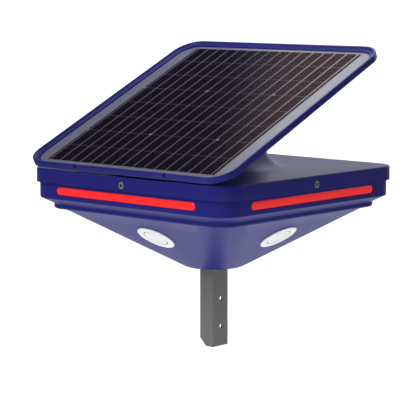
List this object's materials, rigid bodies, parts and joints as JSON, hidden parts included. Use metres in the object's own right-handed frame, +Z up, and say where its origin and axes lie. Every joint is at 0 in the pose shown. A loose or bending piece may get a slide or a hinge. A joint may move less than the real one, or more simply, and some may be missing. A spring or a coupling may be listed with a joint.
{
  "type": "fence energizer",
  "caption": "Solar fence energizer: blue square housing on an angle-iron post bracket, tilted solar panel on a moulded pedestal, red light bars, rear push button and wire terminals.",
  "frame": {"origin": "on the outer face of the bracket's wide leg, midway between its two screw holes", "axes": "+X out of the bracket's drilled face, +Z up along the post, -Y towards the panel's low edge"},
  "size_m": [0.4676, 0.4721, 0.5297],
  "materials": {
    "blue_shell": "smooth dark blue moulded plastic, satin",
    "red_lens": "smooth translucent red lens",
    "white_badge": "white moulded plastic",
    "zinc_screws": "zinc plated",
    "bracket_steel": "galvanised, satin",
    "core_steel": "laminated core",
    "copper_winding": "enamelled copper wire",
    "circuit_board": "green board",
    "seal_rubber": "soft seal",
    "panel_glass": "clear smooth glass",
    "solar_cells": "dark cells with fine bright busbars",
    "backsheet": "pale grey sheet",
    "black_plastic": "fine grain",
    "strap_web": "woven web",
    "red_plastic": "moulded",
    "grey_plastic": "moulded"
  },
  "bodies": {
    "housing": {"badge_disc_front": "white_badge", "badge_disc_left": "white_badge", "badge_disc_right": "white_badge", "badge_ring_front": "white_badge", "badge_ring_left": "white_badge", "badge_ring_right": "white_badge", "base_shell": "blue_shell", "battery": "black_plastic", "battery_strap": "strap_web", "battery_tray": "black_plastic", "bracket_screw_1": "zinc_screws", "bracket_screw_2": "zinc_screws", "bracket_screw_3": "zinc_screws", "bracket_screw_4": "zinc_screws", "capacitor_1": "grey_plastic", "capacitor_2": "grey_plastic", "cell_array": "solar_cells", "chassis_plate": "grey_plastic", "earth_insulator": "black_plastic", "earth_stud": "zinc_screws", "fence_insulator": "red_plastic", "fence_stud": "zinc_screws", "junction_box": "black_plastic", "led_strip_front": "circuit_board", "led_strip_left": "circuit_board", "led_strip_rear": "circuit_board", "led_strip_right": "circuit_board", "lid": "blue_shell", "lid_gasket": "seal_rubber", "lid_screw_front": "zinc_screws", "lid_screw_left": "zinc_screws", "lid_screw_rear": "zinc_screws", "lid_screw_right": "zinc_screws", "light_lens_front": "red_lens", "light_lens_left": "red_lens", "light_lens_rear": "red_lens", "light_lens_right": "red_lens", "main_pcb": "circuit_board", "mounting_bracket": "bracket_steel", "panel_backsheet": "backsheet", "panel_cable": "black_plastic", "panel_frame": "blue_shell", "panel_glass": "panel_glass", "panel_screw_1": "zinc_screws", "panel_screw_2": "zinc_screws", "panel_screw_3": "zinc_screws", "panel_screw_4": "zinc_screws", "pcb_standoff_1": "zinc_screws", "pcb_standoff_2": "zinc_screws", "pcb_standoff_3": "zinc_screws", "pcb_standoff_4": "zinc_screws", "switch_body": "black_plastic", "transformer_core": "core_steel", "transformer_winding": "copper_winding"},
    "button": {"power_button": "red_plastic"},
    "fence_clamp": {"fence_washer": "zinc_screws"},
    "fence_knob": {"fence_knob": "red_plastic"},
    "earth_clamp": {"earth_washer": "zinc_screws"},
    "earth_knob": {"earth_knob": "black_plastic"}
  },
  "joints": [
    {"name": "power_button_press", "type": "slide", "parent": "housing", "child": "button", "axis": [0, -0.5627, 0.8267], "range_m": [0, 0.0025], "stiffness_N_per_m": 350},
    {"name": "fence_knob_turn", "type": "hinge", "parent": "fence_clamp", "child": "fence_knob", "pos_m": [0.031, 0.14537, 0.149], "axis": [0, 0.5627, -0.8267], "range_deg": [0, 720]},
    {"name": "fence_clamp_travel", "type": "slide", "parent": "housing", "child": "fence_clamp", "axis": [0, 0.5627, -0.8267], "range_m": [0, 0.00201]},
    {"name": "earth_knob_turn", "type": "hinge", "parent": "earth_clamp", "child": "earth_knob", "pos_m": [-0.061, 0.14537, 0.149], "axis": [0, 0.5627, -0.8267], "range_deg": [0, 720]},
    {"name": "earth_clamp_travel", "type": "slide", "parent": "housing", "child": "earth_clamp", "axis": [0, 0.5627, -0.8267], "range_m": [0, 0.00201]}
  ],
  "couplings": [
    {"joint": "fence_clamp_travel", "follows": "fence_knob_turn", "m_per_rad": 0.00015915},
    {"joint": "earth_clamp_travel", "follows": "earth_knob_turn", "m_per_rad": 0.00015915}
  ]
}
